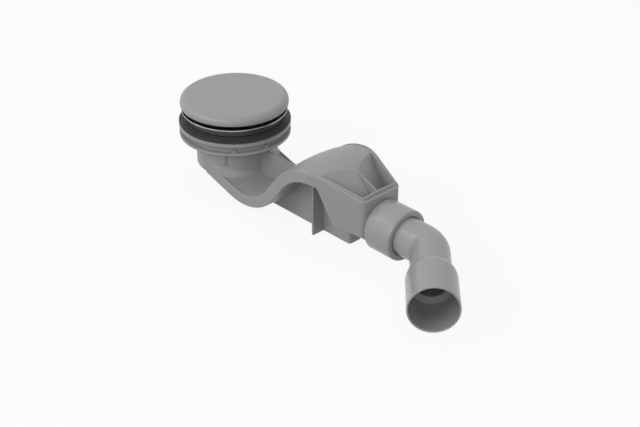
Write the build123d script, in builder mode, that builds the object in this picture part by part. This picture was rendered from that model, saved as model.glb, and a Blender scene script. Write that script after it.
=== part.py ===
from build123d import *
from math import asin, atan2, cos, degrees, hypot, pi, radians, sin, sqrt, tan
import os

os.makedirs("parts", exist_ok=True)

# Shower trap, millimetres. +Z is up along the waste's own axis, +X runs to the outlet.
# Z = 0 is the underside of the shower tray, where the lower gasket's ridges touch it.

# Tray and flange stack on the waste's axis
tray_hole = 90.0
tray_gap = 1.2
neck_clearance = 0.5
flange_rim_diameter = 112.6
flange_rim_thickness = 1.3
rim_round = 0.4
upper_gasket_diameter = 108.0
upper_gasket_height = 2.7
upper_gasket_foot_diameter = 102.0
upper_gasket_foot_height = 5.2
lower_gasket_diameter = 118.8
lower_gasket_height = 3.7
lower_gasket_edge_height = 0.9
ridge_height = 0.5
ridge_width = 1.6
ridge_pitch = 3.0
gasket_clearance = 0.1
gasket_edge = 0.5

# Cover cap
cover_diameter = 115.0
cover_height = 9.6
cover_wall = 2.6
cover_edge = 6.2
cover_lip = 1.8
inlet_gap = 4.4
cover_ribs = 6
cover_rib_height = 4.0
cover_rib_width = 1.6
cover_stem_radius = 7.8
cover_stem_wall = 1.8
cover_stem_length = 30.0

# Throat of the top flange, its web, and the screws
throat_wall = 2.3
throat_depth = 14.0
web_thickness = 3.0
web_bore = 62.0
funnel_fall = 1.1
funnel_width = 9.0
screw_count = 3
screw_angle = -60.0
screw_pitch_radius = 37.5
screw_radius = 2.2
screw_length = 20.0
screw_head_radius = 4.1
screw_head_height = 2.4
screw_slot_length = 4.9
screw_slot_width = 1.1
screw_slot_depth = 1.2
screw_hole_clearance = 0.4
pilot_clearance = 0.05
pilot_spare_depth = 3.0

# Strainer basket, which also carries the cover on its hub
strainer_rim_radius = 33.0
strainer_rim_height = 1.8
strainer_radius = 29.5
strainer_wall = 1.6
strainer_depth = 20.0
hub_wall = 1.9
hub_clearance = 0.2
hole_radius = 1.9
hole_ring_radii = (14.0, 19.5, 25.0)
hole_pitch = 8.7
window_count = 16
window_width = 5.0
window_height = 11.0

# Trap body: flange, cup and the wave-shaped duct with its water seal
gasket_overhang = 0.15
upper_disc_thickness = 4.8
groove_height = 6.8
groove_depth = 6.0
lower_disc_thickness = 2.8
groove_rib_angles = (-42.0, -5.0, 138.0, 175.0)
groove_rib_width = 4.0
groove_rib_length = 3.0
groove_rib_height = 2.2
flange_edge = 0.8
neck_room = 0.3
cup_radius = 41.8
cup_depth = 53.8
cup_edge = 4.0
side_wall = 2.5
skin = 2.0
rim_height = 0.8
rim_edge = 1.2
roof_crown = 3.9
boss_radius = 6.6
boss_length = 24.0
valley_x = 56.0
valley_z = -55.6
valley_radius = 48.0
crest_x = 160.0
crest_z = 8.4
crest_radius = 64.0
duct_depth = 12.6
fall_angle = 17.0
slope_angle = 16.5
skirt_reach = 6.5
skirt_height = 6.5

# Outlet box at the end of the duct
box_end_x = 218.6
box_half_width = 25.0
taper_start_x = 160.0
taper_blend = 70.0
box_corner = 6.2
box_toe_x = 184.5
box_toe_z = -43.0
box_floor_z = -46.0
box_heel_x = 160.6
box_bend = 4.0
end_wall = 3.0
well_side_wall = 4.4
well_end_wall = 4.7
ridge_x = 183.0
ridge_sweep = 0.45
pocket_slope = 0.9
pocket_floor_z = -20.6
centre_rib_width = 1.8
rib_start_z = 7.3
rib_end_z = -6.0
gusset_z = -23.2
gusset_width = 2.2

# Foot under the duct
base_z = -75.1
foot_start_x = 66.0
foot_end_x = 183.0
foot_half_width = 8.5
foot_wall = 2.5
foot_corner = 3.0
stay_x = 144.0
stay_thickness = 2.0
stay_half_width = 23.0

# Outlet, compression joint and elbow
axis_z = -38.1
tube_radius = 22.5
bore_radius = 18.0
tube_start_x = 185.0
tube_nose_radius = 8.0
tube_nose_length = 16.0
collar_radius = 24.6
collar_length = 1.2
thread_radius = 23.9
stub_length = 25.9
stub_room = 0.3
seat_depth = 5.0
seat_wall = 0.9
pipe_radius = 20.0
pipe_wall = 2.0
pipe_end_gap = 2.0
seal_length = 4.0
seal_clearance = 0.05
washer_thickness = 1.2
washer_room = 0.3
nut_radius = 26.4
nut_start = 2.3
nut_front_wall = 3.4
nut_opening_room = 0.6
nut_edge = 2.4
nut_thread_room = 0.1
bend_x = 282.5
bend_angle = 45.0
bend_radius = 28.0
leg_length = 105.0
spigot_radius = 25.0
spigot_wall = 1.8
spigot_length = 46.5
spigot_lip = 0.8
flare_length = 12.5
flare_step = 0.4
stop_depth = 45.0
stop_radius = 16.0
stop_length = 4.0

# Overlap of shapes that are joined, and overrun of those that are cut away
margin = 1.0

# Levels that follow from the sizes above
neck_radius = tray_hole / 2 - neck_clearance
foot_ring_top = tray_gap + upper_gasket_foot_height
gasket_top = foot_ring_top + upper_gasket_height
rim_top = gasket_top + flange_rim_thickness
cover_base = rim_top + inlet_gap
cover_top = cover_base + cover_height
body_top = -lower_gasket_height
groove_top = body_top - upper_disc_thickness
groove_base = groove_top - groove_height
flange_base = groove_base - lower_disc_thickness
web_base = -throat_depth
web_top = web_base + web_thickness
cup_floor = -cup_depth
cup_bore = cup_radius - side_wall

# The duct's rim runs in a wave: a fall from the cup, a valley arc, a riser and a crest arc.
valley_centre = (valley_x, valley_z + valley_radius)
crest_centre = (crest_x, crest_z - crest_radius)
between_x = crest_centre[0] - valley_centre[0]
between_z = crest_centre[1] - valley_centre[1]
riser_angle = degrees(
    asin((valley_radius + crest_radius) / hypot(between_x, between_z)) + atan2(between_z, between_x)
)


def on_circle(centre, radius, angle):
    """Point of a circle in the side view, at an angle in degrees from +X."""
    return (centre[0] + radius * cos(radians(angle)), centre[1] + radius * sin(radians(angle)))


def duct_line(depth):
    """The duct's line in the side view, drawn at that depth below its rim."""
    low = valley_radius + depth
    high = crest_radius - depth
    fall_end = on_circle(valley_centre, low, -90 - fall_angle)
    start = (0, fall_end[1] + fall_end[0] * tan(radians(fall_angle)))
    riser_start = on_circle(valley_centre, low, -90 + riser_angle)
    riser_end = on_circle(crest_centre, high, 90 + riser_angle)
    slope_start = on_circle(crest_centre, high, 90 - slope_angle)
    finish_x = box_end_x + margin
    finish = (finish_x, slope_start[1] - (finish_x - slope_start[0]) * tan(radians(slope_angle)))
    with BuildLine() as wave:
        Line(start, fall_end)
        ThreePointArc(fall_end, on_circle(valley_centre, low, -90), riser_start)
        Line(riser_start, riser_end)
        ThreePointArc(riser_end, on_circle(crest_centre, high, 90), slope_start)
        Line(slope_start, finish)
    return wave.line


def duct_region(depth, far_z):
    """Side-view face between the duct's line at that depth and a level line at far_z."""
    wave = duct_line(depth)
    start = wave @ 0
    finish = wave @ 1
    with BuildSketch() as region:
        with BuildLine():
            add(wave)
            Polyline(finish, (finish.X, far_z), (0, far_z), start)
        make_face()
    return region.sketch


def below(depth):
    """Everything in the side view under the duct's line at that depth."""
    return duct_region(depth, base_z - margin)


def above(depth):
    """Everything in the side view over the duct's line at that depth."""
    return duct_region(depth, cover_top)


def box_side(inset):
    """Side outline of the outlet box without its roof, drawn inset by its walls."""
    lean = (box_toe_x - box_heel_x) / (crest_z - box_toe_z)
    shift = inset * sqrt(1 + lean * lean)
    heel_z = crest_z + margin
    with BuildSketch() as outline:
        with BuildLine():
            Polyline(
                (box_heel_x + shift - margin * lean, heel_z),
                (box_toe_x + shift - inset * lean, box_toe_z + inset),
                (box_end_x - inset, box_floor_z + inset),
                (box_end_x - inset, heel_z),
                close=True,
            )
        make_face()
        toe = outline.vertices().sort_by(Axis.X)[1]
        fillet(toe, box_bend)
    return outline.sketch


def plan_outline(inset, front_inset):
    """Plan of the duct and outlet box, drawn inset by the side walls and the end wall."""
    half = cup_radius - inset
    taper = (cup_radius - box_half_width) / (box_end_x - taper_start_x)
    end_half = box_half_width + taper * front_inset - inset * sqrt(1 + taper * taper)
    end_x = box_end_x - front_inset
    with BuildSketch() as outline:
        with BuildLine():
            Polyline(
                (0, -half),
                (taper_start_x, -half),
                (end_x, -end_half),
                (end_x, end_half),
                (taper_start_x, half),
                (0, half),
                close=True,
            )
        make_face()
        by_x = outline.vertices().group_by(Axis.X)
        fillet(by_x[1], taper_blend)
        fillet(outline.vertices().group_by(Axis.X)[-1], box_corner - inset)
    return outline.sketch


def pocket(spread):
    """Well in the box's roof behind its swept ridge, its sloping side and floor moved by spread."""
    top_z = crest_z + roof_crown
    top_x = ridge_x - pocket_slope * (top_z - crest_z) - spread * sqrt(1 + pocket_slope**2)
    floor_z = pocket_floor_z - spread
    depth = top_z - floor_z
    reach = cup_radius + margin
    with BuildPart() as well:
        with BuildSketch(Plane.XY.offset(top_z)):
            with BuildLine():
                Polyline(
                    (top_x, 0),
                    (top_x - ridge_sweep * reach, -reach),
                    (box_end_x + reach, -reach),
                    (box_end_x + reach, reach),
                    (top_x - ridge_sweep * reach, reach),
                    close=True,
                )
            make_face()
        extrude(amount=depth * sqrt(1 + pocket_slope**2), dir=(pocket_slope, 0, -1))
        with BuildSketch(Plane.XY.offset(floor_z - margin)):
            add(plan_outline(well_side_wall - spread, well_end_wall - spread))
        extrude(amount=depth + 2 * margin, mode=Mode.INTERSECT)
    return well.part


def domed_bar(depth):
    """Bar along the duct's line at that depth, its top domed across the width between the rims."""
    path = Plane.XZ * duct_line(depth)
    dome_radius = (cup_bore**2 + roof_crown**2) / (2 * roof_crown)
    edge_z = roof_crown - dome_radius + sqrt(dome_radius**2 - cup_radius**2)
    bar_base = edge_z - skin
    with BuildPart() as bar:
        with BuildSketch(Plane(origin=path @ 0, x_dir=(0, 1, 0), z_dir=path % 0)):
            with BuildLine():
                ThreePointArc((-cup_radius, edge_z), (0, roof_crown), (cup_radius, edge_z))
                Polyline(
                    (cup_radius, edge_z),
                    (cup_radius, bar_base),
                    (-cup_radius, bar_base),
                    (-cup_radius, edge_z),
                )
            make_face()
        sweep(path=path)
    return bar.part


roof_well = pocket(0)
roof_well_grown = pocket(skin)

outlet_axis = Axis((0, 0, axis_z), (1, 0, 0))
stub_end = box_end_x + stub_length
stub_bore = pipe_radius + stub_room
seat_radius = thread_radius - seat_wall
pipe_end = box_end_x + collar_length + pipe_end_gap
body_flange_radius = lower_gasket_diameter / 2 - gasket_overhang
groove_radius = body_flange_radius - groove_depth

# Room for water inside: the cup, the duct, the outlet box and the outlet's bore
duct_roof = rim_height + skin
duct_floor = duct_depth - skin
with BuildPart() as waterway:
    with BuildSketch(Plane.XZ):
        add(box_side(skin))
        add(above(duct_floor))
        add(below(duct_roof + margin), mode=Mode.INTERSECT)
    extrude(amount=cup_radius, both=True)
    add(domed_bar(duct_roof))
    with BuildSketch(Plane.XY.offset(base_z)):
        add(plan_outline(side_wall, end_wall))
    extrude(amount=cover_top - base_z, mode=Mode.INTERSECT)
    add(roof_well_grown, mode=Mode.SUBTRACT)
    with BuildSketch(Plane.XY.offset(cup_floor + skin)):
        Circle(cup_bore)
    extrude(amount=-throat_depth - cup_floor - skin)
    with BuildSketch(Plane.XY.offset(-throat_depth)):
        Circle(neck_radius + neck_room)
    extrude(amount=throat_depth)
    with BuildSketch(Plane.XZ):
        with BuildLine():
            Polyline(
                (tube_start_x + skin, axis_z),
                (tube_start_x + skin, axis_z + tube_nose_radius - skin),
                (tube_start_x + tube_nose_length, axis_z + bore_radius),
                (box_end_x + collar_length, axis_z + bore_radius),
                (box_end_x + collar_length, axis_z + stub_bore),
                (stub_end - seat_depth, axis_z + stub_bore),
                (stub_end, axis_z + seat_radius),
                (stub_end, axis_z),
                close=True,
            )
        make_face()
    revolve(axis=outlet_axis)

# Recess between the rims of the side walls, and the domed roof that lies in it
with BuildPart() as roof_recess:
    with BuildSketch(Plane.XZ):
        add(above(rim_height + margin))
    extrude(amount=cup_radius, both=True)
    with BuildSketch(Plane.XY.offset(base_z)):
        add(plan_outline(side_wall, end_wall))
    extrude(amount=cover_top - base_z, mode=Mode.INTERSECT)
with BuildPart() as domed_roof:
    add(domed_bar(rim_height))
    with BuildSketch(Plane.XY.offset(base_z)):
        add(plan_outline(side_wall, end_wall))
    extrude(amount=cover_top - base_z, mode=Mode.INTERSECT)

# Foot under the duct: a hollow spine that is open below
with BuildPart() as spine:
    with BuildSketch(Plane.XZ):
        add(below(duct_depth - skin / 2))
    extrude(amount=foot_half_width, both=True)
    with BuildSketch(Plane.XY.offset(base_z)):
        with Locations(((foot_start_x + foot_end_x) / 2, 0)):
            RectangleRounded(foot_end_x - foot_start_x, 2 * foot_half_width, foot_corner)
    extrude(amount=crest_z - base_z, mode=Mode.INTERSECT)
    hollow_half = foot_half_width - foot_wall
    hollow_height = 2 * (crest_z - base_z)
    with BuildSketch(Plane.XZ, mode=Mode.PRIVATE) as hollow_side:
        add(below(duct_depth))
        with Locations(((foot_start_x + foot_end_x) / 2, 0)):
            Rectangle(foot_end_x - foot_start_x - 2 * foot_wall, hollow_height, mode=Mode.INTERSECT)
    extrude(hollow_side.sketch, amount=hollow_half, both=True, mode=Mode.SUBTRACT)

# Gusset between the cup and the riser, over the valley
with BuildPart() as gusset:
    with BuildSketch(Plane.XZ):
        add(above(rim_height + skin / 2))
        with Locations((cup_bore + margin, gusset_z)):
            Rectangle(crest_x - cup_bore, -base_z, align=(Align.MIN, Align.MAX), mode=Mode.INTERSECT)
    extrude(amount=gusset_width / 2, both=True)

# Sloping skirt where the cup's side meets the falling roof
roof_tilt = radians(fall_angle)
roof_start = valley_centre[1] - (valley_radius + rim_height) / cos(roof_tilt) + valley_x * tan(roof_tilt)
skirt_plane = Plane((0, 0, roof_start), x_dir=(cos(roof_tilt), 0, -sin(roof_tilt)), z_dir=(0, -1, 0))
skirt_foot = cup_radius + skirt_reach
skirt_root = cup_radius - side_wall / 2
skirt_head = (skirt_foot - skirt_root) * skirt_height / skirt_reach
with BuildPart() as cup_skirt:
    with BuildSketch(skirt_plane):
        with BuildLine():
            Polyline(
                (skirt_foot, 0),
                (skirt_root, skirt_head),
                (skirt_root, -2 * skin),
                (skirt_foot, -2 * skin),
                close=True,
            )
        make_face()
    revolve(axis=Axis((0, 0, roof_start), (sin(roof_tilt), 0, cos(roof_tilt))))
    with BuildSketch(Plane.XZ, mode=Mode.PRIVATE) as skirt_side:
        add(above(duct_floor))
    extrude(skirt_side.sketch, amount=cup_radius, both=True, mode=Mode.INTERSECT)

# Upright rib along the middle of the well, from its ridge to the end wall
rib_foot_x = ridge_x + pocket_slope * (crest_z - pocket_floor_z)
rib_end_x = box_end_x - well_end_wall / 2
with BuildPart() as centre_rib:
    with BuildSketch(Plane.XZ):
        with BuildLine():
            Polyline(
                (ridge_x, rib_start_z),
                (rib_end_x, rib_end_z),
                (rib_end_x, axis_z + tube_radius - skin / 2),
                (rib_foot_x, axis_z + tube_radius - skin / 2),
                close=True,
            )
        make_face()
    extrude(amount=centre_rib_width / 2, both=True)

# Trap body: one unit with its flange, cup, duct, outlet box, stub and foot
with BuildPart() as trap_body:
    with BuildSketch(Plane.XZ) as side_view:
        add(box_side(0))
        add(above(duct_depth))
        add(below(0), mode=Mode.INTERSECT)
        heel = side_view.vertices().sort_by_distance((box_heel_x + box_bend, crest_z - duct_depth))[0]
        fillet(heel, box_bend)
    extrude(amount=cup_radius, both=True)
    with BuildSketch(Plane.XY.offset(base_z)):
        add(plan_outline(0, 0))
    extrude(amount=cover_top - base_z, mode=Mode.INTERSECT)
    rims = [
        edge
        for edge in trap_body.edges()
        if abs(edge.center().Y) > box_half_width / 2
        and abs(edge.tangent_at(0.5).Z) < 0.99
        and abs(edge.tangent_at(0.5).Y) < 0.9
    ]
    fillet(rims, rim_edge)
    add(roof_recess.part, mode=Mode.SUBTRACT)
    add(domed_roof.part)
    add(roof_well, mode=Mode.SUBTRACT)
    add(cup_skirt.part)
    add(gusset.part)
    add(spine.part)
    with BuildSketch(Plane.XZ):
        add(below(duct_depth - skin / 2))
        with Locations((stay_x, base_z)):
            Rectangle(stay_thickness, crest_z - base_z, align=(Align.CENTER, Align.MIN), mode=Mode.INTERSECT)
    extrude(amount=stay_half_width, both=True)
    with BuildSketch(Plane.XZ):
        with BuildLine():
            Polyline(
                (tube_start_x, axis_z),
                (tube_start_x, axis_z + tube_nose_radius),
                (tube_start_x + tube_nose_length, axis_z + tube_radius),
                (box_end_x, axis_z + tube_radius),
                (box_end_x, axis_z + collar_radius),
                (box_end_x + collar_length, axis_z + collar_radius),
                (box_end_x + collar_length, axis_z + thread_radius),
                (stub_end, axis_z + thread_radius),
                (stub_end, axis_z),
                close=True,
            )
        make_face()
    revolve(axis=outlet_axis)
    with BuildSketch(Plane.XZ) as flange_profile:
        with BuildLine():
            Polyline(
                (0, cup_floor),
                (cup_radius, cup_floor),
                (cup_radius, flange_base),
                (body_flange_radius, flange_base),
                (body_flange_radius, groove_base),
                (groove_radius, groove_base),
                (groove_radius, groove_top),
                (body_flange_radius, groove_top),
                (body_flange_radius, body_top),
                (0, body_top),
                close=True,
            )
        make_face()
        fillet(flange_profile.vertices().sort_by_distance((cup_radius, cup_floor))[0], cup_edge)
        fillet(flange_profile.vertices().group_by(Axis.X)[-1], flange_edge)
    revolve(axis=Axis.Z)
    rib_reach = groove_rib_length + margin
    for angle in groove_rib_angles:
        with PolarLocations(groove_radius - margin + rib_reach / 2, 1, start_angle=angle):
            with Locations((0, 0, groove_base)):
                Box(
                    rib_reach,
                    groove_rib_width,
                    groove_rib_height,
                    align=(Align.CENTER, Align.CENTER, Align.MIN),
                )
    with BuildSketch(Plane.XY.offset(web_base)):
        with PolarLocations(screw_pitch_radius, screw_count, start_angle=screw_angle):
            Circle(boss_radius)
    extrude(amount=-boss_length)
    add(waterway.part, mode=Mode.SUBTRACT)
    with BuildSketch(Plane.XY.offset(web_base)):
        with PolarLocations(screw_pitch_radius, screw_count, start_angle=screw_angle):
            Circle(boss_radius)
    extrude(amount=-boss_length)
    with BuildSketch(Plane.XY.offset(web_base)):
        with PolarLocations(screw_pitch_radius, screw_count, start_angle=screw_angle):
            Circle(screw_radius + pilot_clearance)
    extrude(amount=web_thickness - screw_length - pilot_spare_depth, mode=Mode.SUBTRACT)
    add(centre_rib.part)
trap_body.part.label = "trap_body"
export_step(trap_body.part, "parts/trap_body.step")

# Lower gasket: black ring with raised rings that step up inwards and grip the tray's underside
with BuildPart() as lower_gasket:
    gasket_bore = neck_radius + gasket_clearance
    ridge_steps = int((lower_gasket_diameter / 2 - gasket_bore - ridge_width) / ridge_pitch)
    with BuildSketch(Plane.XZ):
        for index in range(ridge_steps + 1):
            outer = lower_gasket_diameter / 2 - index * ridge_pitch
            ridge_rise = (lower_gasket_height - lower_gasket_edge_height) * index / ridge_steps
            ridge_top = body_top + lower_gasket_edge_height + ridge_rise
            with BuildLine():
                Polyline(
                    (gasket_bore, body_top),
                    (outer, body_top),
                    (outer, ridge_top),
                    (outer - ridge_width, ridge_top),
                    (outer - ridge_width, ridge_top - ridge_height),
                    (gasket_bore, ridge_top - ridge_height),
                    close=True,
                )
            make_face()
    revolve(axis=Axis.Z)
lower_gasket.part.label = "lower_gasket"
export_step(lower_gasket.part, "parts/lower_gasket.step")

# Upper gasket: stepped black ring under the flange's rim, on top of the tray
with BuildPart() as upper_gasket:
    with BuildSketch(Plane.XZ) as upper_profile:
        with BuildLine():
            Polyline(
                (neck_radius + gasket_clearance, tray_gap),
                (upper_gasket_foot_diameter / 2, tray_gap),
                (upper_gasket_foot_diameter / 2, foot_ring_top),
                (upper_gasket_diameter / 2, foot_ring_top),
                (upper_gasket_diameter / 2, gasket_top),
                (neck_radius + gasket_clearance, gasket_top),
                close=True,
            )
        make_face()
        fillet(upper_profile.vertices().group_by(Axis.X)[-1], gasket_edge)
    revolve(axis=Axis.Z)
upper_gasket.part.label = "upper_gasket"
export_step(upper_gasket.part, "parts/upper_gasket.step")

# Top flange: thin rim, funnel, throat and the web that the screws pull down
flange_rim_radius = flange_rim_diameter / 2
throat_bore = neck_radius - throat_wall
with BuildPart() as top_flange:
    with BuildSketch(Plane.XZ) as flange_section:
        with BuildLine():
            Polyline(
                (flange_rim_radius, gasket_top),
                (flange_rim_radius, rim_top),
                (throat_bore + funnel_width, rim_top),
                (throat_bore, rim_top - funnel_fall),
                (throat_bore, web_top),
                (web_bore / 2, web_top),
                (web_bore / 2, web_base),
                (neck_radius, web_base),
                (neck_radius, gasket_top),
                close=True,
            )
        make_face()
        fillet(flange_section.vertices().group_by(Axis.X)[-1], rim_round)
    revolve(axis=Axis.Z)
    with BuildSketch(Plane.XY.offset(web_top)):
        with PolarLocations(screw_pitch_radius, screw_count, start_angle=screw_angle):
            Circle(screw_radius + screw_hole_clearance)
    extrude(amount=-web_thickness, mode=Mode.SUBTRACT)
top_flange.part.label = "top_flange"
export_step(top_flange.part, "parts/top_flange.step")

# Flange screws: three pan heads on the web, driven into the body's bosses
with BuildPart() as flange_screws:
    with BuildSketch(Plane.XY.offset(web_top)):
        with PolarLocations(screw_pitch_radius, screw_count, start_angle=screw_angle):
            Circle(screw_head_radius)
    extrude(amount=screw_head_height)
    fillet(flange_screws.edges().group_by(Axis.Z)[-1], screw_head_height / 3)
    with BuildSketch(Plane.XY.offset(web_top)):
        with PolarLocations(screw_pitch_radius, screw_count, start_angle=screw_angle):
            Circle(screw_radius)
    extrude(amount=-screw_length)
    chamfer(flange_screws.edges().group_by(Axis.Z)[0], screw_radius / 2)
    with BuildSketch(Plane.XY.offset(web_top + screw_head_height)):
        with PolarLocations(screw_pitch_radius, screw_count, start_angle=screw_angle):
            Rectangle(screw_slot_length, screw_slot_width)
            Rectangle(screw_slot_width, screw_slot_length)
    extrude(amount=-screw_slot_depth, mode=Mode.SUBTRACT)
flange_screws.part.label = "flange_screws"
export_step(flange_screws.part, "parts/flange_screws.step")

# Cover cap: round lid with a stem that drops into the strainer's hub, and ribs beneath
cover_radius = cover_diameter / 2
lid_under = cover_top - cover_wall
rib_base = lid_under - cover_rib_height
with BuildPart() as cover_cap:
    with BuildSketch(Plane.XZ) as cover_section:
        with BuildLine():
            Polyline(
                (0, cover_top),
                (cover_radius, cover_top),
                (cover_radius, cover_base),
                (cover_radius - cover_wall, cover_base),
                (cover_radius - cover_wall, lid_under),
                (0, lid_under),
                close=True,
            )
        make_face()
        corners = cover_section.vertices()
        fillet(corners.sort_by_distance((cover_radius, cover_top))[0], cover_edge)
        fillet(corners.sort_by_distance((cover_radius, cover_base))[0], cover_lip)
    revolve(axis=Axis.Z)
    with BuildSketch(Plane.XY.offset(lid_under)):
        Circle(cover_stem_radius)
        Circle(cover_stem_radius - cover_stem_wall, mode=Mode.SUBTRACT)
    extrude(amount=-cover_stem_length)
    with BuildSketch(Plane.XY.offset(lid_under)):
        rib_length = cover_radius - cover_wall / 2 - cover_stem_radius + cover_stem_wall / 2
        rib_middle = cover_stem_radius - cover_stem_wall / 2 + rib_length / 2
        with PolarLocations(rib_middle, cover_ribs):
            Rectangle(rib_length, cover_rib_width)
    extrude(amount=-cover_rib_height)
cover_cap.part.label = "cover_cap"
export_step(cover_cap.part, "parts/cover_cap.step")

# Strainer basket: rests on the web's lip, holds back hair and carries the cover on its hub
basket_floor = web_top - strainer_depth
hub_bore = cover_stem_radius + hub_clearance
with BuildPart() as strainer:
    with BuildSketch(Plane.XZ):
        with BuildLine():
            Polyline(
                (hub_bore, basket_floor),
                (strainer_radius, basket_floor),
                (strainer_radius, web_top),
                (strainer_rim_radius, web_top),
                (strainer_rim_radius, web_top + strainer_rim_height),
                (strainer_radius - strainer_wall, web_top + strainer_rim_height),
                (strainer_radius - strainer_wall, basket_floor + strainer_wall),
                (hub_bore + hub_wall, basket_floor + strainer_wall),
                (hub_bore + hub_wall, rib_base),
                (hub_bore, rib_base),
                close=True,
            )
        make_face()
    revolve(axis=Axis.Z)
    for ring_radius in hole_ring_radii:
        with BuildSketch(Plane.XY.offset(basket_floor)):
            with PolarLocations(ring_radius, int(2 * pi * ring_radius / hole_pitch)):
                Circle(hole_radius)
        extrude(amount=strainer_wall, mode=Mode.SUBTRACT)
    with BuildSketch(Plane.XY.offset(basket_floor + 2 * strainer_wall)):
        with PolarLocations(strainer_radius, window_count):
            Rectangle(2 * (strainer_wall + margin), window_width)
    extrude(amount=window_height, mode=Mode.SUBTRACT)
strainer.part.label = "strainer"
export_step(strainer.part, "parts/strainer.step")

# Cone seal between the stub's mouth, the elbow's pipe and the washer
seal_bore = pipe_radius + seal_clearance
with BuildPart() as cone_seal:
    with BuildSketch(Plane.XZ):
        with BuildLine():
            Polyline(
                (stub_end - seat_depth + seal_clearance, axis_z + seal_bore),
                (stub_end - seat_depth + seal_clearance, axis_z + stub_bore),
                (stub_end, axis_z + seat_radius - seal_clearance),
                (stub_end + seal_length, axis_z + seat_radius - seal_clearance),
                (stub_end + seal_length, axis_z + seal_bore),
                close=True,
            )
        make_face()
    revolve(axis=outlet_axis)
cone_seal.part.label = "cone_seal"
export_step(cone_seal.part, "parts/cone_seal.step")

# Slip washer, so that the nut turns without dragging the seal round
washer_start = stub_end + seal_length
with BuildPart() as slip_washer:
    with BuildSketch(Plane.YZ.offset(washer_start)):
        with Locations((0, axis_z)):
            Circle(thread_radius - washer_room)
            Circle(pipe_radius + washer_room, mode=Mode.SUBTRACT)
    extrude(amount=washer_thickness)
slip_washer.part.label = "slip_washer"
export_step(slip_washer.part, "parts/slip_washer.step")

# Outlet nut: screws over the stub's thread and presses the washer and the seal home
nut_rear = box_end_x + nut_start
nut_shoulder = washer_start + washer_thickness
nut_front = nut_shoulder + nut_front_wall
with BuildPart() as outlet_nut:
    with BuildSketch(Plane.XZ) as nut_section:
        with BuildLine():
            Polyline(
                (nut_rear, axis_z + thread_radius + nut_thread_room),
                (nut_rear, axis_z + nut_radius),
                (nut_front, axis_z + nut_radius),
                (nut_front, axis_z + pipe_radius + nut_opening_room),
                (nut_shoulder, axis_z + pipe_radius + nut_opening_room),
                (nut_shoulder, axis_z + thread_radius + nut_thread_room),
                close=True,
            )
        make_face()
        fillet(nut_section.vertices().sort_by_distance((nut_front, axis_z + nut_radius))[0], nut_edge)
    revolve(axis=outlet_axis)
outlet_nut.part.label = "outlet_nut"
export_step(outlet_nut.part, "parts/outlet_nut.step")

# Outlet elbow: pipe, bend and the wider spigot for the drain, with a stop inside
turn = radians(bend_angle)
mouth_direction = Vector(cos(turn), -sin(turn), 0)
bend_centre = Vector(bend_x, 0, axis_z)
leg_plane = Plane(origin=bend_centre, x_dir=mouth_direction, z_dir=(-sin(turn), -cos(turn), 0))
leg_axis = Axis(bend_centre, mouth_direction)
spigot_start = leg_length - spigot_length
flare_start = spigot_start - flare_length
stop_start = leg_length - stop_depth
pipe_bore = pipe_radius - pipe_wall
spigot_bore = spigot_radius - spigot_wall
with BuildPart() as outlet_elbow:
    with BuildLine() as pipe_path:
        leg_joint = bend_centre + mouth_direction * (flare_start + margin)
        FilletPolyline((pipe_end, 0, axis_z), bend_centre, leg_joint, radius=bend_radius)
    with BuildSketch(Plane(origin=(pipe_end, 0, axis_z), z_dir=(1, 0, 0))):
        Circle(pipe_radius)
    sweep(path=pipe_path.wire())
    with BuildSketch(leg_plane):
        with BuildLine():
            top = Line((leg_length, 0), (leg_length, spigot_radius))
            side = Line(top @ 1, (spigot_start, spigot_radius))
            shoulder = TangentArc(side @ 1, (flare_start, pipe_radius + flare_step), tangent=(-1, 0))
            Polyline(shoulder @ 1, (flare_start, 0), top @ 0)
        make_face()
    revolve(axis=leg_axis)
    with BuildSketch(Plane(origin=(pipe_end, 0, axis_z), z_dir=(1, 0, 0))):
        Circle(pipe_bore)
    sweep(path=pipe_path.wire(), mode=Mode.SUBTRACT)
    with BuildSketch(leg_plane):
        with BuildLine():
            Polyline(
                (flare_start, 0),
                (flare_start, pipe_bore),
                (stop_start - stop_length, pipe_bore),
                (stop_start - stop_length, stop_radius),
                (stop_start, stop_radius),
                (stop_start, spigot_bore),
                (leg_length, spigot_bore),
                (leg_length, 0),
                close=True,
            )
        make_face()
    revolve(axis=leg_axis, mode=Mode.SUBTRACT)
    lips = outlet_elbow.edges().filter_by(GeomType.CIRCLE).sort_by(leg_axis)[-2:]
    fillet(lips, spigot_lip)
outlet_elbow.part.label = "outlet_elbow"
export_step(outlet_elbow.part, "parts/outlet_elbow.step")
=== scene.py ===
import math

import bmesh
import bpy
from mathutils import Matrix, Vector


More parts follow.
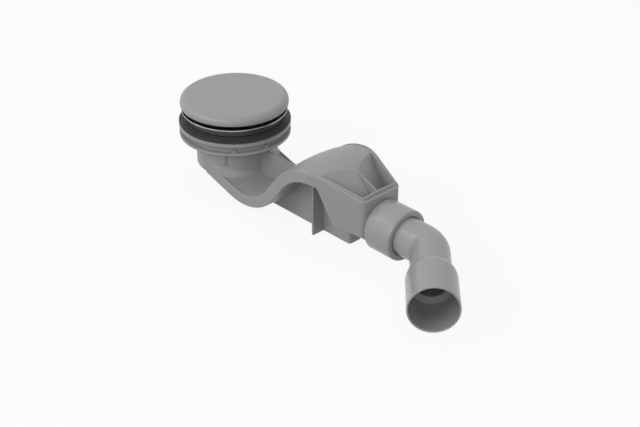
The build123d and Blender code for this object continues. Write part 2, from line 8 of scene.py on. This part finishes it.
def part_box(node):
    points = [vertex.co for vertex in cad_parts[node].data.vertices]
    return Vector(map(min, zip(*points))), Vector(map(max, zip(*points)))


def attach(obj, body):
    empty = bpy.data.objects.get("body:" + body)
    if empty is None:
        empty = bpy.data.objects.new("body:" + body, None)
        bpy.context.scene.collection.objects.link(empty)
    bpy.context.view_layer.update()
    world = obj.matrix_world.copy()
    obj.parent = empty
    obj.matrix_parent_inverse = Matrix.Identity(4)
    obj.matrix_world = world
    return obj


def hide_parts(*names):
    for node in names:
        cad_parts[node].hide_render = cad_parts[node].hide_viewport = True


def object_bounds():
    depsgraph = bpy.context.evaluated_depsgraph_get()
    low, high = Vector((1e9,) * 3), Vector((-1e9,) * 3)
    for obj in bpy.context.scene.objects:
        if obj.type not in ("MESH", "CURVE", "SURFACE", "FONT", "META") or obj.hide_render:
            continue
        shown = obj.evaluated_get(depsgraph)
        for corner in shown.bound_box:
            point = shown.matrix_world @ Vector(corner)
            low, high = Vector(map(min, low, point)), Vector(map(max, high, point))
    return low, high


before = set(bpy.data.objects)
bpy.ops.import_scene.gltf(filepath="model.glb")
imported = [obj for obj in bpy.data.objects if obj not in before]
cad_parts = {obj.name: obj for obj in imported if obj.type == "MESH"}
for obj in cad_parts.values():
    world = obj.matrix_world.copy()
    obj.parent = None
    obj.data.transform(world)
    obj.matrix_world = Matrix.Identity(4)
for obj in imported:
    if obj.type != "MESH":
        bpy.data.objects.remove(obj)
cad_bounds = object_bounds()

# Trap body: one unit of grey ABS with its flange, cup, arched duct, outlet box, stub and foot.
# It is injection moulded in halves that are welded for life, and the mould was spark eroded,
# so every face has the same fine satin grain.


def linear(code):
    """Linear colour of an sRGB hex code."""
    channels = [int(code[i : i + 2], 16) / 255 for i in (1, 3, 5)]
    return [c / 12.92 if c <= 0.04045 else ((c + 0.055) / 1.055) ** 2.4 for c in channels] + [1.0]


def add_node(tree, kind, settings, links):
    """Adds one node: settings go to its attributes or its inputs, links are (output socket, input name)."""
    node = tree.nodes.new(kind)
    for name, value in settings.items():
        if name in node.inputs:
            node.inputs[name].default_value = value
        else:
            setattr(node, name, value)
    for source, target in links:
        tree.links.new(source, node.inputs[target])
    return node


# a noise pattern lies mostly between these two values
noise_range = {"From Min": 0.3, "From Max": 0.7}


def moulded_plastic(name, shade, dark_shade, roughness, grain_mm, grain_depth_mm, edge_mm):
    """Injection-moulded plastic: a slow drift of shade, uneven gloss, fine grain and soft corners."""
    material = bpy.data.materials.new(name)
    material.use_nodes = True
    tree = material.node_tree
    tree.nodes.clear()
    drift_mm = 35
    patch_mm = 6
    gloss_swing = 0.05
    place = add_node(tree, "ShaderNodeTexCoord", {}, []).outputs["Object"]
    # wide drifts of shade come from the way the melt fills the mould
    drift = add_node(
        tree, "ShaderNodeTexNoise", {"Scale": 1000 / drift_mm, "Detail": 3.0}, [(place, "Vector")]
    )
    colour = add_node(tree, "ShaderNodeMix", {"data_type": "RGBA"}, [(drift.outputs["Fac"], "Factor")])
    colour.inputs["A"].default_value = linear(dark_shade)
    colour.inputs["B"].default_value = linear(shade)
    # gloss changes from patch to patch, with handling and with the depth of the grain
    patches = add_node(
        tree, "ShaderNodeTexNoise", {"Scale": 1000 / patch_mm, "Detail": 4.0}, [(place, "Vector")]
    )
    limits = {"To Min": roughness - gloss_swing, "To Max": roughness + gloss_swing}
    gloss = add_node(
        tree, "ShaderNodeMapRange", {**noise_range, **limits}, [(patches.outputs["Fac"], "Value")]
    )
    grain = add_node(
        tree, "ShaderNodeTexNoise", {"Scale": 1000 / grain_mm, "Detail": 2.0}, [(place, "Vector")]
    )
    # a mould's corners are never sharp: each edge turns over about its own small radius
    corner = add_node(tree, "ShaderNodeBevel", {"samples": 6, "Radius": edge_mm / 1000}, [])
    bump = add_node(
        tree,
        "ShaderNodeBump",
        {"Strength": 0.5, "Distance": grain_depth_mm / 1000},
        [(grain.outputs["Fac"], "Height"), (corner.outputs["Normal"], "Normal")],
    )
    shader = add_node(
        tree,
        "ShaderNodeBsdfPrincipled",
        {"IOR": 1.53},
        [
            (colour.outputs["Result"], "Base Color"),
            (gloss.outputs["Result"], "Roughness"),
            (bump.outputs["Normal"], "Normal"),
        ],
    )
    add_node(tree, "ShaderNodeOutputMaterial", {}, [(shader.outputs["BSDF"], "Surface")])
    return material


def merged_copy(node, name):
    """A copy of a CAD node's mesh as one smooth skin, sharp only at its real corners."""
    weld_gap = 1e-6
    flat_angle = math.radians(0.3)
    corner_angle = math.radians(28)
    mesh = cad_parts[node].data.copy()
    mesh.name = name
    shape = bmesh.new()
    shape.from_mesh(mesh)
    bmesh.ops.remove_doubles(shape, verts=shape.verts, dist=weld_gap)
    bmesh.ops.dissolve_limit(shape, angle_limit=flat_angle, verts=shape.verts, edges=shape.edges)
    for face in shape.faces:
        face.smooth = True
    for edge in shape.edges:
        edge.smooth = edge.is_manifold and edge.calc_face_angle() < corner_angle
    shape.to_mesh(mesh)
    shape.free()
    mesh.materials.clear()
    piece = bpy.data.objects.new(name, mesh)
    bpy.context.scene.collection.objects.link(piece)
    flat_faces = piece.modifiers.new("flat_faces", "WEIGHTED_NORMAL")
    flat_faces.keep_sharp = True
    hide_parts(node)
    return piece


# Satin grain of 1.2 mm, coarser than the real 0.1 mm so that it shows: it breaks up the highlights
spark_eroded_abs = moulded_plastic("spark_eroded_grey_abs", "#A19E9E", "#9D9A9A", 0.42, 1.2, 0.008, 0.7)

trap_body = merged_copy("trap_body", "trap_body_moulding")
trap_body.data.materials.append(spark_eroded_abs)
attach(trap_body, "root")


# Lower gasket: black EPDM ring that seals the tray's underside on the body's flange.
# It is compression moulded, with raised rings on top that the clamping flattens.


def rounded(corners):
    """Outline through (radius, height, corner radius) points, with each corner turned into an arc."""
    arc_steps = 6
    outline = []
    for index, (x, y, size) in enumerate(corners):
        point = Vector((x, y))
        before = (Vector(corners[index - 1][:2]) - point).normalized()
        after = (Vector(corners[(index + 1) % len(corners)][:2]) - point).normalized()
        if size == 0:
            outline.append(point)
            continue
        half = before.angle(after) / 2
        reach = size / math.tan(half)
        middle = point + (before + after).normalized() * size / math.sin(half)
        start = point + before * reach - middle
        turn = start.angle_signed(point + after * reach - middle)
        for step in range(arc_steps + 1):
            outline.append(middle + Matrix.Rotation(-turn * step / arc_steps, 2) @ start)
    return outline


def turned(name, corners, steps, base, axis, across):
    """Ring or disc made by turning a closed outline of (radius, height) round an axis."""
    weld_gap = 1e-7
    sliver = 1e-8
    corner_angle = math.radians(35)
    outline = rounded(corners)
    side = axis.cross(across)
    shape = bmesh.new()
    rings = []
    for step in range(steps):
        angle = 2 * math.pi * step / steps
        out = across * math.cos(angle) + side * math.sin(angle)
        rings.append([shape.verts.new(base + out * p.x + axis * p.y) for p in outline])
    for step in range(steps):
        here, there = rings[step], rings[(step + 1) % steps]
        for index in range(len(outline)):
            ahead = (index + 1) % len(outline)
            shape.faces.new((here[index], here[ahead], there[ahead], there[index]))
    bmesh.ops.remove_doubles(shape, verts=shape.verts, dist=weld_gap)
    bmesh.ops.dissolve_degenerate(shape, edges=shape.edges, dist=sliver)
    bmesh.ops.recalc_face_normals(shape, faces=shape.faces)
    mesh = bpy.data.meshes.new(name)
    shape.to_mesh(mesh)
    shape.free()
    mesh.shade_smooth()
    mesh.set_sharp_from_angle(angle=corner_angle)
    piece = bpy.data.objects.new(name, mesh)
    bpy.context.scene.collection.objects.link(piece)
    return piece


def moulded_rubber(name, shade, bloom_shade, roughness):
    """Black rubber with a pale bloom in slow patches and a faint pebble from the mould."""
    material = bpy.data.materials.new(name)
    material.use_nodes = True
    tree = material.node_tree
    tree.nodes.clear()
    bloom_mm = 14
    gloss_swing = 0.08
    pebble_mm = 1.5
    pebble_depth_mm = 0.03
    place = add_node(tree, "ShaderNodeTexCoord", {}, []).outputs["Object"]
    # the bloom of wax on the surface lies in patches
    bloom = add_node(
        tree, "ShaderNodeTexNoise", {"Scale": 1000 / bloom_mm, "Detail": 5.0}, [(place, "Vector")]
    )
    colour = add_node(tree, "ShaderNodeMix", {"data_type": "RGBA"}, [(bloom.outputs["Fac"], "Factor")])
    colour.inputs["A"].default_value = linear(shade)
    colour.inputs["B"].default_value = linear(bloom_shade)
    limits = {"To Min": roughness - gloss_swing, "To Max": roughness + gloss_swing}
    gloss = add_node(
        tree, "ShaderNodeMapRange", {**noise_range, **limits}, [(bloom.outputs["Fac"], "Value")]
    )
    pebble = add_node(tree, "ShaderNodeTexVoronoi", {"Scale": 1000 / pebble_mm}, [(place, "Vector")])
    bump = add_node(
        tree,
        "ShaderNodeBump",
        {"Strength": 0.4, "Distance": pebble_depth_mm / 1000},
        [(pebble.outputs["Distance"], "Height")],
    )
    shader = add_node(
        tree,
        "ShaderNodeBsdfPrincipled",
        {"IOR": 1.52},
        [
            (colour.outputs["Result"], "Base Color"),
            (gloss.outputs["Result"], "Roughness"),
            (bump.outputs["Normal"], "Normal"),
        ],
    )
    add_node(tree, "ShaderNodeOutputMaterial", {}, [(shader.outputs["BSDF"], "Surface")])
    return material


# Compression-moulded EPDM: nearly black, with a soft grey sheen on each ring
moulded_epdm = moulded_rubber("moulded_black_epdm", "#343537", "#454649", 0.5)

up = Vector((0, 0, 1))
ahead_x = Vector((1, 0, 0))
centre = Vector((0, 0, 0))

low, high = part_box("lower_gasket")
gasket_bore = 0.0446
gasket_sides = 192
soft_edge = 0.0002
ring_edge = 0.0003
ring_pitch = 0.0030
ring_width = 0.0016
ring_groove = 0.0005
ring_steps = 4
edge_height = 0.0009
ring_corners = [(gasket_bore, low.z, 0), (high.x, low.z, soft_edge)]
for step in range(ring_steps + 1):
    ring_radius = high.x - ring_pitch * step
    ring_top = low.z + edge_height + (high.z - low.z - edge_height) * step / ring_steps
    ring_corners.append((ring_radius, ring_top, ring_edge))
    ring_corners.append((ring_radius - ring_width + soft_edge, ring_top, soft_edge))
    ring_corners.append((ring_radius - ring_width, ring_top - ring_groove, 0))
    if step < ring_steps:
        ring_corners.append((ring_radius - ring_pitch, ring_top - ring_groove, 0))
ring_corners.append((gasket_bore, high.z - ring_groove, soft_edge))
lower_gasket = turned("lower_gasket_rubber", ring_corners, gasket_sides, centre, up, ahead_x)
lower_gasket.data.materials.append(moulded_epdm)
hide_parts("lower_gasket")
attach(lower_gasket, "root")


# Upper gasket: stepped ring of the same black EPDM between the flange's rim and the tray's top.
# Its wide upper step carries the rim, and its narrower foot stands on the tray.
low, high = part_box("upper_gasket")
step_z = low.z + 0.0052
foot_radius = 0.051
upper_corners = [
    (gasket_bore, low.z, soft_edge),
    (foot_radius - 0.0022, low.z, 0),
    (foot_radius - 0.0014, low.z + 0.0005, 0),
    (foot_radius - 0.0008, low.z, 0),
    (foot_radius, low.z, 0.0003),
    (foot_radius, step_z - 0.0014, 0.0004),
    (foot_radius - 0.0012, step_z - 0.0008, 0),
    (foot_radius - 0.0012, step_z, 0),
    (high.x, step_z, 0.0005),
    (high.x, high.z, 0.0005),
    (gasket_bore, high.z, soft_edge),
]
upper_gasket = turned("upper_gasket_rubber", upper_corners, gasket_sides, centre, up, ahead_x)
upper_gasket.data.materials.append(moulded_epdm)
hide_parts("upper_gasket")
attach(upper_gasket, "root")


# Top flange: one ABS moulding with a bright plated finish on its thin rim and throat.
# It drops through the tray's hole, and its web takes the screws that clamp the stack.


def plated_plastic(name, shade):
    """Chrome plating over moulded plastic: bright metal with the faint waves of what is below."""
    material = bpy.data.materials.new(name)
    material.use_nodes = True
    tree = material.node_tree
    tree.nodes.clear()
    wave_mm = 4
    wave_depth_mm = 0.02
    place = add_node(tree, "ShaderNodeTexCoord", {}, []).outputs["Object"]
    # plating follows the moulding's shrinkage in slow waves
    waves = add_node(
        tree, "ShaderNodeTexNoise", {"Scale": 1000 / wave_mm, "Detail": 2.0}, [(place, "Vector")]
    )
    limits = {"To Min": 0.12, "To Max": 0.2}
    gloss = add_node(
        tree, "ShaderNodeMapRange", {**noise_range, **limits}, [(waves.outputs["Fac"], "Value")]
    )
    bump = add_node(
        tree,
        "ShaderNodeBump",
        {"Strength": 0.2, "Distance": wave_depth_mm / 1000},
        [(waves.outputs["Fac"], "Height")],
    )
    shader = add_node(
        tree,
        "ShaderNodeBsdfPrincipled",
        {"Base Color": linear(shade), "Metallic": 1.0},
        [(gloss.outputs["Result"], "Roughness"), (bump.outputs["Normal"], "Normal")],
    )
    add_node(tree, "ShaderNodeOutputMaterial", {}, [(shader.outputs["BSDF"], "Surface")])
    return material


# Satin chrome plating: reads as a thin line of silver under the dark gap
satin_chrome_plating = plated_plastic("satin_chrome_plating_on_abs", "#A9A9AB")

top_flange = merged_copy("top_flange", "top_flange_plated")
top_flange.data.materials.append(satin_chrome_plating)
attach(top_flange, "root")


# Strainer: a grey polypropylene basket that hangs in the flange's web and lifts out.
# Its floor and side are pierced in the mould, and its hub carries the cover.
strainer_plastic = moulded_plastic("moulded_grey_polypropylene", "#A09E9D", "#9A9897", 0.5, 1.2, 0.01, 0.4)
strainer = merged_copy("strainer", "strainer_basket")
strainer.data.materials.append(strainer_plastic)
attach(strainer, "root")


# Flange screws: stainless pan heads with cross slots, driven from above into the bosses.
# The screws are cold headed and thread rolled, so they are smooth with a faint turned sheen.


def drawn_steel(name, shade):
    """Plain stainless steel of a cold-headed screw, with fine drawn streaks along its shank."""
    material = bpy.data.materials.new(name)
    material.use_nodes = True
    tree = material.node_tree
    tree.nodes.clear()
    streak_width_mm = 0.4
    streak_length_mm = 10
    place = add_node(tree, "ShaderNodeTexCoord", {}, []).outputs["Object"]
    # the streaks are drawn coarse so that they show
    across = 1000 / streak_width_mm
    stretch = add_node(
        tree, "ShaderNodeMapping", {"Scale": (across, across, 1000 / streak_length_mm)}, [(place, "Vector")]
    )
    streaks = add_node(
        tree, "ShaderNodeTexNoise", {"Scale": 1.0, "Detail": 2.0}, [(stretch.outputs["Vector"], "Vector")]
    )
    limits = {"To Min": 0.22, "To Max": 0.36}
    gloss = add_node(
        tree, "ShaderNodeMapRange", {**noise_range, **limits}, [(streaks.outputs["Fac"], "Value")]
    )
    shader = add_node(
        tree,
        "ShaderNodeBsdfPrincipled",
        {"Base Color": linear(shade), "Metallic": 1.0},
        [(gloss.outputs["Result"], "Roughness")],
    )
    add_node(tree, "ShaderNodeOutputMaterial", {}, [(shader.outputs["BSDF"], "Surface")])
    return material


cold_headed_stainless = drawn_steel("cold_headed_stainless_steel", "#B9B8B5")
flange_screws = merged_copy("flange_screws", "flange_screw_set")
flange_screws.data.materials.append(cold_headed_stainless)
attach(flange_screws, "root")


# Cover cap: a round lid of grey ABS that rests on the strainer's hub by its stem.
# Its top comes from a polished mould, so it is smoother than the body and its edge takes a soft light.
polished_abs = moulded_plastic("polished_mould_grey_abs", "#A29F9F", "#A09D9D", 0.36, 1.0, 0.003, 0.4)

low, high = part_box("cover_cap")
lid_sides = 256
lid_radius = 0.0575
lid_wall = 0.0026
skirt_z = high.z - 0.0096
under_z = high.z - lid_wall
stem_radius = 0.0078
stem_bore = 0.0060
crown = 0.00012
lid_corners = [
    (0, high.z, 0),
    (lid_radius * 0.5, high.z - crown * 0.3, 0),
    (lid_radius - 0.0070, high.z - crown, 0),
    (lid_radius, high.z - crown, 0.0062),
    (lid_radius, skirt_z, 0.0018),
    (lid_radius - lid_wall, skirt_z, 0.0004),
    (lid_radius - lid_wall, under_z, 0.0008),
    (stem_radius, under_z, 0.0005),
    (stem_radius, low.z, 0.0006),
    (stem_bore, low.z, 0.0004),
    (stem_bore, under_z, 0.0004),
    (0, under_z, 0),
]
cover_lid = turned("cover_lid", lid_corners, lid_sides, centre, up, ahead_x)
cover_lid.data.materials.append(polished_abs)
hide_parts("cover_cap")
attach(cover_lid, "root")


# Ribs of the cover cap: six upright ribs under the lid, moulded with it, from the stem to the skirt.
# They stiffen the lid and rest on the hub, and draft makes each a little thinner at its lower edge.
rib_count = 6
rib_depth = 0.0040
rib_root = 0.0016
rib_tip = 0.0013
rib_edge = 0.0002
rib_sink = 0.0004
rib_overlap = 0.0006
ribs = bpy.data.node_groups.new("cover_ribs", "GeometryNodeTree")
for name, kind in (
    ("Ribs", "NodeSocketInt"),
    ("Rib", "NodeSocketObject"),
    ("Finish", "NodeSocketMaterial"),
):
    ribs.interface.new_socket(name, in_out="INPUT", socket_type=kind)
ribs.interface.new_socket("Geometry", in_out="OUTPUT", socket_type="NodeSocketGeometry")
given = add_node(ribs, "NodeGroupInput", {}, [])
places = add_node(
    ribs, "GeometryNodeMeshLine", {"Offset": (0.0, 0.0, 0.0)}, [(given.outputs["Ribs"], "Count")]
)
share = add_node(ribs, "ShaderNodeMath", {"operation": "DIVIDE"}, [])
ribs.links.new(given.outputs["Ribs"], share.inputs[1])
share.inputs[0].default_value = 2 * math.pi
number = add_node(ribs, "GeometryNodeInputIndex", {}, [])
turn = add_node(ribs, "ShaderNodeMath", {"operation": "MULTIPLY"}, [])
ribs.links.new(number.outputs["Index"], turn.inputs[0])
ribs.links.new(share.outputs["Value"], turn.inputs[1])
spin = add_node(ribs, "ShaderNodeCombineXYZ", {}, [(turn.outputs["Value"], "Z")])
rib_shape = add_node(ribs, "GeometryNodeObjectInfo", {}, [(given.outputs["Rib"], "Object")])
copies = add_node(
    ribs,
    "GeometryNodeInstanceOnPoints",
    {},
    [
        (places.outputs["Mesh"], "Points"),
        (rib_shape.outputs["Geometry"], "Instance"),
        (spin.outputs["Vector"], "Rotation"),
    ],
)
solid = add_node(ribs, "GeometryNodeRealizeInstances", {}, [(copies.outputs["Instances"], "Geometry")])
dressed = add_node(
    ribs,
    "GeometryNodeSetMaterial",
    {},
    [(solid.outputs["Geometry"], "Geometry"), (given.outputs["Finish"], "Material")],
)
add_node(ribs, "NodeGroupOutput", {}, [(dressed.outputs["Geometry"], "Geometry")])

rib_section = (
    (-rib_tip / 2, under_z - rib_depth),
    (rib_tip / 2, under_z - rib_depth),
    (rib_root / 2, under_z + rib_sink),
    (-rib_root / 2, under_z + rib_sink),
)
shape = bmesh.new()
for x in (stem_radius - rib_overlap, lid_radius - lid_wall + rib_overlap):
    for y, z in rib_section:
        shape.verts.new((x, y, z))
shape.verts.ensure_lookup_table()
for ids in ((0, 1, 2, 3), (4, 5, 6, 7), (0, 1, 5, 4), (1, 2, 6, 5), (2, 3, 7, 6), (3, 0, 4, 7)):
    shape.faces.new([shape.verts[i] for i in ids])
bmesh.ops.bevel(shape, geom=shape.edges[:], offset=rib_edge, segments=2, affect="EDGES", profile=0.5)
bmesh.ops.recalc_face_normals(shape, faces=shape.faces)
rib_mesh = bpy.data.meshes.new("single_rib")
shape.to_mesh(rib_mesh)
shape.free()
single_rib = bpy.data.objects.new("single_rib", rib_mesh)
bpy.context.scene.collection.objects.link(single_rib)


def grown(name, tree, inputs):
    """Runs a geometry node tree with its named inputs and gives back a plain mesh object."""
    carrier = bpy.data.objects.new(name + "_carrier", bpy.data.meshes.new(name + "_carrier"))
    bpy.context.scene.collection.objects.link(carrier)
    modifier = carrier.modifiers.new("grow", "NODES")
    modifier.node_group = tree
    for item in tree.interface.items_tree:
        if item.in_out == "INPUT" and item.name in inputs:
            modifier[item.identifier] = inputs[item.name]
    bpy.context.view_layer.update()
    graph = bpy.context.evaluated_depsgraph_get()
    mesh = bpy.data.meshes.new_from_object(carrier.evaluated_get(graph))
    mesh.name = name
    piece = bpy.data.objects.new(name, mesh)
    bpy.context.scene.collection.objects.link(piece)
    carrier.modifiers.remove(modifier)
    bpy.data.objects.remove(carrier)
    return piece


cover_ribs = grown("cover_ribs", ribs, {"Ribs": rib_count, "Rib": single_rib, "Finish": polished_abs})
bpy.data.objects.remove(single_rib)
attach(cover_ribs, "root")


# Cone seal and slip washer: a black EPDM cone in the stub's mouth, and a thin plastic ring on it.
# Both are pressed home by the nut, and only the washer's edge is seen through the nut's opening.
cone_seal = merged_copy("cone_seal", "cone_seal_rubber")
cone_seal.data.materials.append(moulded_epdm)
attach(cone_seal, "root")
slip_washer = merged_copy("slip_washer", "slip_washer_ring")
slip_washer.data.materials.append(strainer_plastic)
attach(slip_washer, "root")


# Outlet nut: a grey ABS compression nut with a rounded front edge, turned by hand.
# It comes from a polished mould, so it is the glossiest plastic of the trap with the elbow.
glossy_abs = moulded_plastic("glossy_moulded_grey_abs", "#A3A0A0", "#A09D9D", 0.24, 1.6, 0.0008, 0.5)

low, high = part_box("outlet_nut")
axis_z = (low.z + high.z) / 2
nut_sides = 192
nut_radius = (high.z - low.z) / 2
nut_bore = 0.0240
nut_opening = 0.0206
nut_front_wall = 0.0034
shoulder = high.x - nut_front_wall
nut_corners = [
    (nut_bore, low.x, 0.0003),
    (nut_radius, low.x, 0.0006),
    (nut_radius, high.x, 0.0024),
    (nut_opening, high.x, 0.0005),
    (nut_opening, shoulder, 0.0003),
    (nut_bore, shoulder, 0.0002),
]
outlet_line = Vector((0, 0, axis_z))
outlet_nut = turned("outlet_nut_moulding", nut_corners, nut_sides, outlet_line, ahead_x, up)
outlet_nut.data.materials.append(glossy_abs)
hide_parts("outlet_nut")
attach(outlet_nut, "root")


# Outlet elbow: one glossy grey moulding, a pipe, a smooth bend and a wider spigot for the drain.
# The pipe slides into the seal, and the stop inside the spigot is where the mould's core ended.
outlet_elbow = merged_copy("outlet_elbow", "outlet_elbow_moulding")
outlet_elbow.data.materials.append(glossy_abs)
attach(outlet_elbow, "root")


# Floor: a plain white studio sheet at the level of the trap's foot, wide enough to fill every view.
# To the eye and in reflections it is white but for a tenth of its own shading, which keeps the soft shadow.


def seen_white(tree):
    """Gives 1 for rays from the camera, in reflections and through glass, and 0 for the light's own."""
    ray = add_node(tree, "ShaderNodeLightPath", {}, [])
    mirrored = add_node(tree, "ShaderNodeMath", {"operation": "MAXIMUM"}, [])
    tree.links.new(ray.outputs["Is Glossy Ray"], mirrored.inputs[0])
    tree.links.new(ray.outputs["Is Transmission Ray"], mirrored.inputs[1])
    seen = add_node(tree, "ShaderNodeMath", {"operation": "MAXIMUM"}, [])
    tree.links.new(ray.outputs["Is Camera Ray"], seen.inputs[0])
    tree.links.new(mirrored.outputs["Value"], seen.inputs[1])
    return seen.outputs["Value"]


floor_reach = 6.0
floor_clearance = 0.0002
glow_share = 0.9
shape = bmesh.new()
bmesh.ops.create_grid(shape, x_segments=1, y_segments=1, size=floor_reach)
for corner in shape.verts:
    corner.co.z = cad_bounds[0].z - floor_clearance
floor_mesh = bpy.data.meshes.new("studio_floor")
shape.to_mesh(floor_mesh)
shape.free()
studio_floor = bpy.data.objects.new("studio_floor", floor_mesh)
bpy.context.scene.collection.objects.link(studio_floor)

white_sheet = bpy.data.materials.new("white_studio_sheet")
white_sheet.use_nodes = True
tree = white_sheet.node_tree
tree.nodes.clear()
matt = add_node(tree, "ShaderNodeBsdfDiffuse", {"Color": linear("#F2F2F2")}, [])
glow = add_node(tree, "ShaderNodeEmission", {"Color": linear("#FFFFFF"), "Strength": 1.0}, [])
shaded = add_node(tree, "ShaderNodeMixShader", {"Fac": glow_share}, [])
tree.links.new(matt.outputs["BSDF"], shaded.inputs[1])
tree.links.new(glow.outputs["Emission"], shaded.inputs[2])
dull = add_node(tree, "ShaderNodeBsdfDiffuse", {"Color": linear("#909090")}, [])
mixed = add_node(tree, "ShaderNodeMixShader", {}, [(seen_white(tree), "Fac")])
tree.links.new(dull.outputs["BSDF"], mixed.inputs[1])
tree.links.new(shaded.outputs["Shader"], mixed.inputs[2])
add_node(tree, "ShaderNodeOutputMaterial", {}, [(mixed.outputs["Shader"], "Surface")])
floor_mesh.materials.append(white_sheet)


# Light: an even pale surround, a wide soft lamp on the near side, and weaker ones ahead and to the left.
# The surround is white to the camera and in reflections, and grey as a light.
world = bpy.data.worlds.new("studio")
bpy.context.scene.world = world
world.use_nodes = True
tree = world.node_tree
tree.nodes.clear()
strength = add_node(
    tree, "ShaderNodeMapRange", {"To Min": 0.53, "To Max": 1.0}, [(seen_white(tree), "Value")]
)
surround = add_node(
    tree, "ShaderNodeBackground", {"Color": linear("#FFFFFF")}, [(strength.outputs["Result"], "Strength")]
)
add_node(tree, "ShaderNodeOutputWorld", {}, [(surround.outputs["Background"], "Surface")])

aim = Vector((0.13, 0.0, -0.02))
lamp_distance = 2.4
lamp_aspect = 0.7
for name, direction, width, power in (
    ("near_lamp", (-0.1, -1.0, 0.6), 1.6, 16.6),
    ("front_lamp", (0.62, -0.59, 0.45), 0.9, 5.6),
    ("left_lamp", (-0.9, -0.5, 0.8), 1.2, 5.0),
):
    lamp = bpy.data.lights.new(name, "AREA")
    lamp.shape = "RECTANGLE"
    lamp.size = width
    lamp.size_y = width * lamp_aspect
    lamp.energy = power
    holder = bpy.data.objects.new(name, lamp)
    away = Vector(direction).normalized()
    holder.location = aim + away * lamp_distance
    holder.rotation_euler = away.to_track_quat("Z", "Y").to_euler()
    bpy.context.scene.collection.objects.link(holder)


# Camera: at the photograph's angle, a long lens a good stride away.
camera_distance = 1.6
looked_at = Vector((0.1078, 0.0219, -0.0840))
camera = bpy.data.objects.new("camera", bpy.data.cameras.new("camera"))
azimuth = math.radians(46.35)
elevation = math.radians(30.83)
away = Vector(
    (
        math.sin(azimuth) * math.cos(elevation),
        -math.cos(azimuth) * math.cos(elevation),
        math.sin(elevation),
    )
)
camera.data.sensor_width = 36.0
camera.data.lens = 85.49
camera.location = looked_at + away * camera_distance
camera.rotation_euler = away.to_track_quat("Z", "Y").to_euler()
bpy.context.scene.collection.objects.link(camera)
bpy.context.scene.camera = camera
bpy.context.scene.view_settings.view_transform = "Standard"
